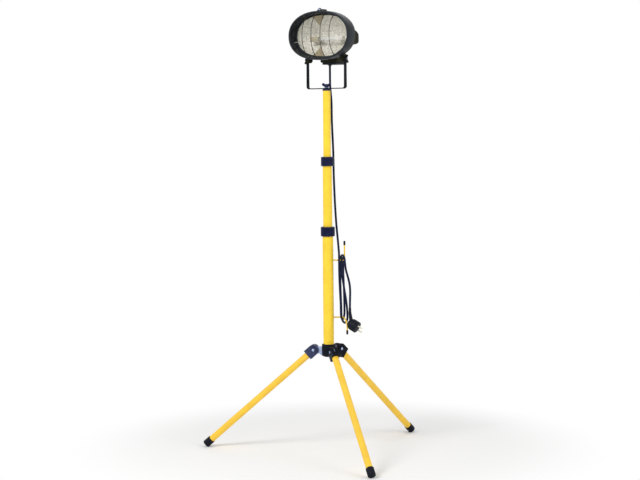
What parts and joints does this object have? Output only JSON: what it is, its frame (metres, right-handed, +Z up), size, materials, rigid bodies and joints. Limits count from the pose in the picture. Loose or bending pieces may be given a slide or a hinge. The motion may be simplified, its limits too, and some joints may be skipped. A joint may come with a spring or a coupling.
{
  "type": "work light stand",
  "caption": "Oval flood light with a wire guard on a swivel yoke, on a telescopic mast with folding tripod legs, cord hooks and a wound mains cord.",
  "frame": {"origin": "on the floor, in the middle of the box round the three feet (the mast's axis stands 28 mm to +X and 79 mm to -Y of it)", "axes": "+Z up the mast; the lamp faces -Y; +X is to the right seen from behind the lamp"},
  "size_m": [0.7463, 0.6987, 1.4456],
  "materials": {
    "hub_collar": "black glass-filled nylon, fine grain",
    "hub_rivet": "zinc plated, bluish",
    "hub_lug_1": "zinc plated, bluish",
    "hub_lug_2": "zinc plated, bluish",
    "hub_lug_3": "zinc plated, bluish",
    "lower_tube": "golden yellow powder coat, satin",
    "lower_end_plug": "black moulded plastic",
    "lower_clamp_ring": "black moulded plastic",
    "upper_hook": "yellow powder coat over bent wire",
    "lower_hook": "yellow powder coat over bent wire",
    "upper_hook_cap": "black rubber, matt",
    "lower_hook_cap": "black rubber, matt",
    "cord_drop": "black rubber, low sheen",
    "cord_hank": "black rubber, low sheen",
    "plug_body": "black rubber, low sheen",
    "plug_pin_1": "nickel-plated brass",
    "plug_pin_2": "nickel-plated brass",
    "leg_fork_1": "black glass-filled nylon, fine grain",
    "leg_pin_1": "zinc plated, bluish",
    "leg_tube_1": "deep yellow powder coat, satin",
    "leg_foot_1": "black rubber, matt",
    "leg_fork_2": "black glass-filled nylon, fine grain",
    "leg_pin_2": "zinc plated, bluish",
    "leg_tube_2": "deep yellow powder coat, satin",
    "leg_foot_2": "black rubber, matt",
    "leg_fork_3": "black glass-filled nylon, fine grain",
    "leg_pin_3": "zinc plated, bluish",
    "leg_tube_3": "deep yellow powder coat, satin",
    "leg_foot_3": "black rubber, matt",
    "lower_collar": "black moulded plastic, worn sheen",
    "middle_tube": "golden yellow powder coat, satin",
    "middle_bush": "black moulded plastic",
    "upper_clamp_ring": "black moulded plastic",
    "upper_collar": "black moulded plastic, worn sheen",
    "upper_tube": "golden yellow powder coat, satin",
    "upper_bush": "black moulded plastic",
    "upper_end_plug": "black moulded plastic",
    "swivel_stud": "zinc plated, bluish",
    "yoke": "black powder coat, edge wear",
    "swivel_washer": "zinc plated, bluish",
    "swivel_wing_nut": "black moulded plastic, worn sheen",
    "tilt_bolt_left": "zinc plated, bluish",
    "tilt_bolt_right": "zinc plated, bluish",
    "bezel": "die-cast aluminium under black powder coat",
    "tab_screw": "zinc plated, bluish",
    "glass_gasket": "black rubber, matt",
    "front_glass": "clear toughened glass",
    "wire_guard": "black coated wire",
    "housing": "die-cast aluminium under black powder coat",
    "terminal_lid": "die-cast aluminium under black powder coat",
    "cord_gland": "black rubber, low sheen",
    "rear_cover": "die-cast aluminium under black powder coat",
    "reflector": "hammered bright aluminium",
    "lamp_tube": "quartz tube, clear",
    "lamp_holder_left": "cream ceramic",
    "lamp_holder_right": "cream ceramic",
    "tilt_wing_nut_left": "black moulded plastic, worn sheen",
    "tilt_wing_nut_right": "black moulded plastic, worn sheen"
  },
  "bodies": {
    "root": {"hub_collar": "hub_collar", "hub_rivet": "hub_rivet", "hub_lug_1": "hub_lug_1", "hub_lug_2": "hub_lug_2", "hub_lug_3": "hub_lug_3", "lower_tube": "lower_tube", "lower_end_plug": "lower_end_plug", "lower_clamp_ring": "lower_clamp_ring", "upper_hook": "upper_hook", "lower_hook": "lower_hook", "upper_hook_cap": "upper_hook_cap", "lower_hook_cap": "lower_hook_cap", "cord_drop": "cord_drop", "cord_hank": "cord_hank", "plug_body": "plug_body", "plug_pin_1": "plug_pin_1", "plug_pin_2": "plug_pin_2"},
    "leg_1": {"leg_fork_1": "leg_fork_1", "leg_pin_1": "leg_pin_1", "leg_tube_1": "leg_tube_1", "leg_foot_1": "leg_foot_1"},
    "leg_2": {"leg_fork_2": "leg_fork_2", "leg_pin_2": "leg_pin_2", "leg_tube_2": "leg_tube_2", "leg_foot_2": "leg_foot_2"},
    "leg_3": {"leg_fork_3": "leg_fork_3", "leg_pin_3": "leg_pin_3", "leg_tube_3": "leg_tube_3", "leg_foot_3": "leg_foot_3"},
    "lower_lock": {"lower_collar": "lower_collar"},
    "middle_mast": {"middle_tube": "middle_tube", "middle_bush": "middle_bush", "upper_clamp_ring": "upper_clamp_ring"},
    "upper_lock": {"upper_collar": "upper_collar"},
    "upper_mast": {"upper_tube": "upper_tube", "upper_bush": "upper_bush", "upper_end_plug": "upper_end_plug", "swivel_stud": "swivel_stud"},
    "yoke": {"yoke": "yoke", "swivel_washer": "swivel_washer"},
    "swivel_nut": {"swivel_wing_nut": "swivel_wing_nut"},
    "head": {"tilt_bolt_left": "tilt_bolt_left", "tilt_bolt_right": "tilt_bolt_right", "bezel": "bezel", "tab_screw": "tab_screw", "glass_gasket": "glass_gasket", "front_glass": "front_glass", "wire_guard": "wire_guard", "housing": "housing", "terminal_lid": "terminal_lid", "cord_gland": "cord_gland", "rear_cover": "rear_cover", "reflector": "reflector", "lamp_tube": "lamp_tube", "lamp_holder_left": "lamp_holder_left", "lamp_holder_right": "lamp_holder_right"},
    "tilt_nut_left": {"tilt_wing_nut_left": "tilt_wing_nut_left"},
    "tilt_nut_right": {"tilt_wing_nut_right": "tilt_wing_nut_right"}
  },
  "joints": [
    {"name": "leg_1_fold", "type": "hinge", "parent": "root", "child": "leg_1", "pos_m": [0.03462, -0.02912, 0.33569], "axis": [-0.991, 0.134, 0], "range_deg": [0, 48.8]},
    {"name": "leg_2_fold", "type": "hinge", "parent": "root", "child": "leg_2", "pos_m": [-0.01876, -0.09819, 0.33569], "axis": [0.3795, -0.9252, 0], "range_deg": [0, 48.8]},
    {"name": "leg_3_fold", "type": "hinge", "parent": "root", "child": "leg_3", "pos_m": [0.06775, -0.10989, 0.33569], "axis": [0.6115, 0.7912, 0], "range_deg": [0, 48.8]},
    {"name": "lower_lock_twist", "type": "hinge", "parent": "root", "child": "lower_lock", "pos_m": [0.02787, -0.07907, 0.72769], "axis": [0, 0, 1], "range_deg": [0, 90]},
    {"name": "middle_slide", "type": "slide", "parent": "root", "child": "middle_mast", "axis": [0, 0, 1], "range_m": [-0.195, 0.1], "deforming": ["cord_drop"]},
    {"name": "upper_lock_twist", "type": "hinge", "parent": "middle_mast", "child": "upper_lock", "pos_m": [0.02787, -0.07907, 0.956], "axis": [0, 0, 1], "range_deg": [0, 90]},
    {"name": "upper_slide", "type": "slide", "parent": "middle_mast", "child": "upper_mast", "axis": [0, 0, 1], "range_m": [-0.19, 0.1]},
    {"name": "yoke_pan", "type": "hinge", "parent": "upper_mast", "child": "yoke", "pos_m": [0.02787, -0.07907, 1.1873], "axis": [0, 0, 1], "range_deg": [-90, 90]},
    {"name": "swivel_nut_turn", "type": "hinge", "parent": "upper_mast", "child": "swivel_nut", "pos_m": [0.02787, -0.07907, 1.1873], "axis": [0, 0, 1], "range_deg": [0, 180]},
    {"name": "head_tilt", "type": "hinge", "parent": "yoke", "child": "head", "pos_m": [0.02787, -0.07907, 1.2823], "axis": [1, 0, 0], "range_deg": [-45, 60]},
    {"name": "tilt_nut_left_turn", "type": "hinge", "parent": "head", "child": "tilt_nut_left", "pos_m": [-0.04723, -0.07907, 1.2823], "axis": [-1, 0, 0], "range_deg": [0, 180]},
    {"name": "tilt_nut_right_turn", "type": "hinge", "parent": "head", "child": "tilt_nut_right", "pos_m": [0.10297, -0.07907, 1.2823], "axis": [1, 0, 0], "range_deg": [0, 180]}
  ]
}
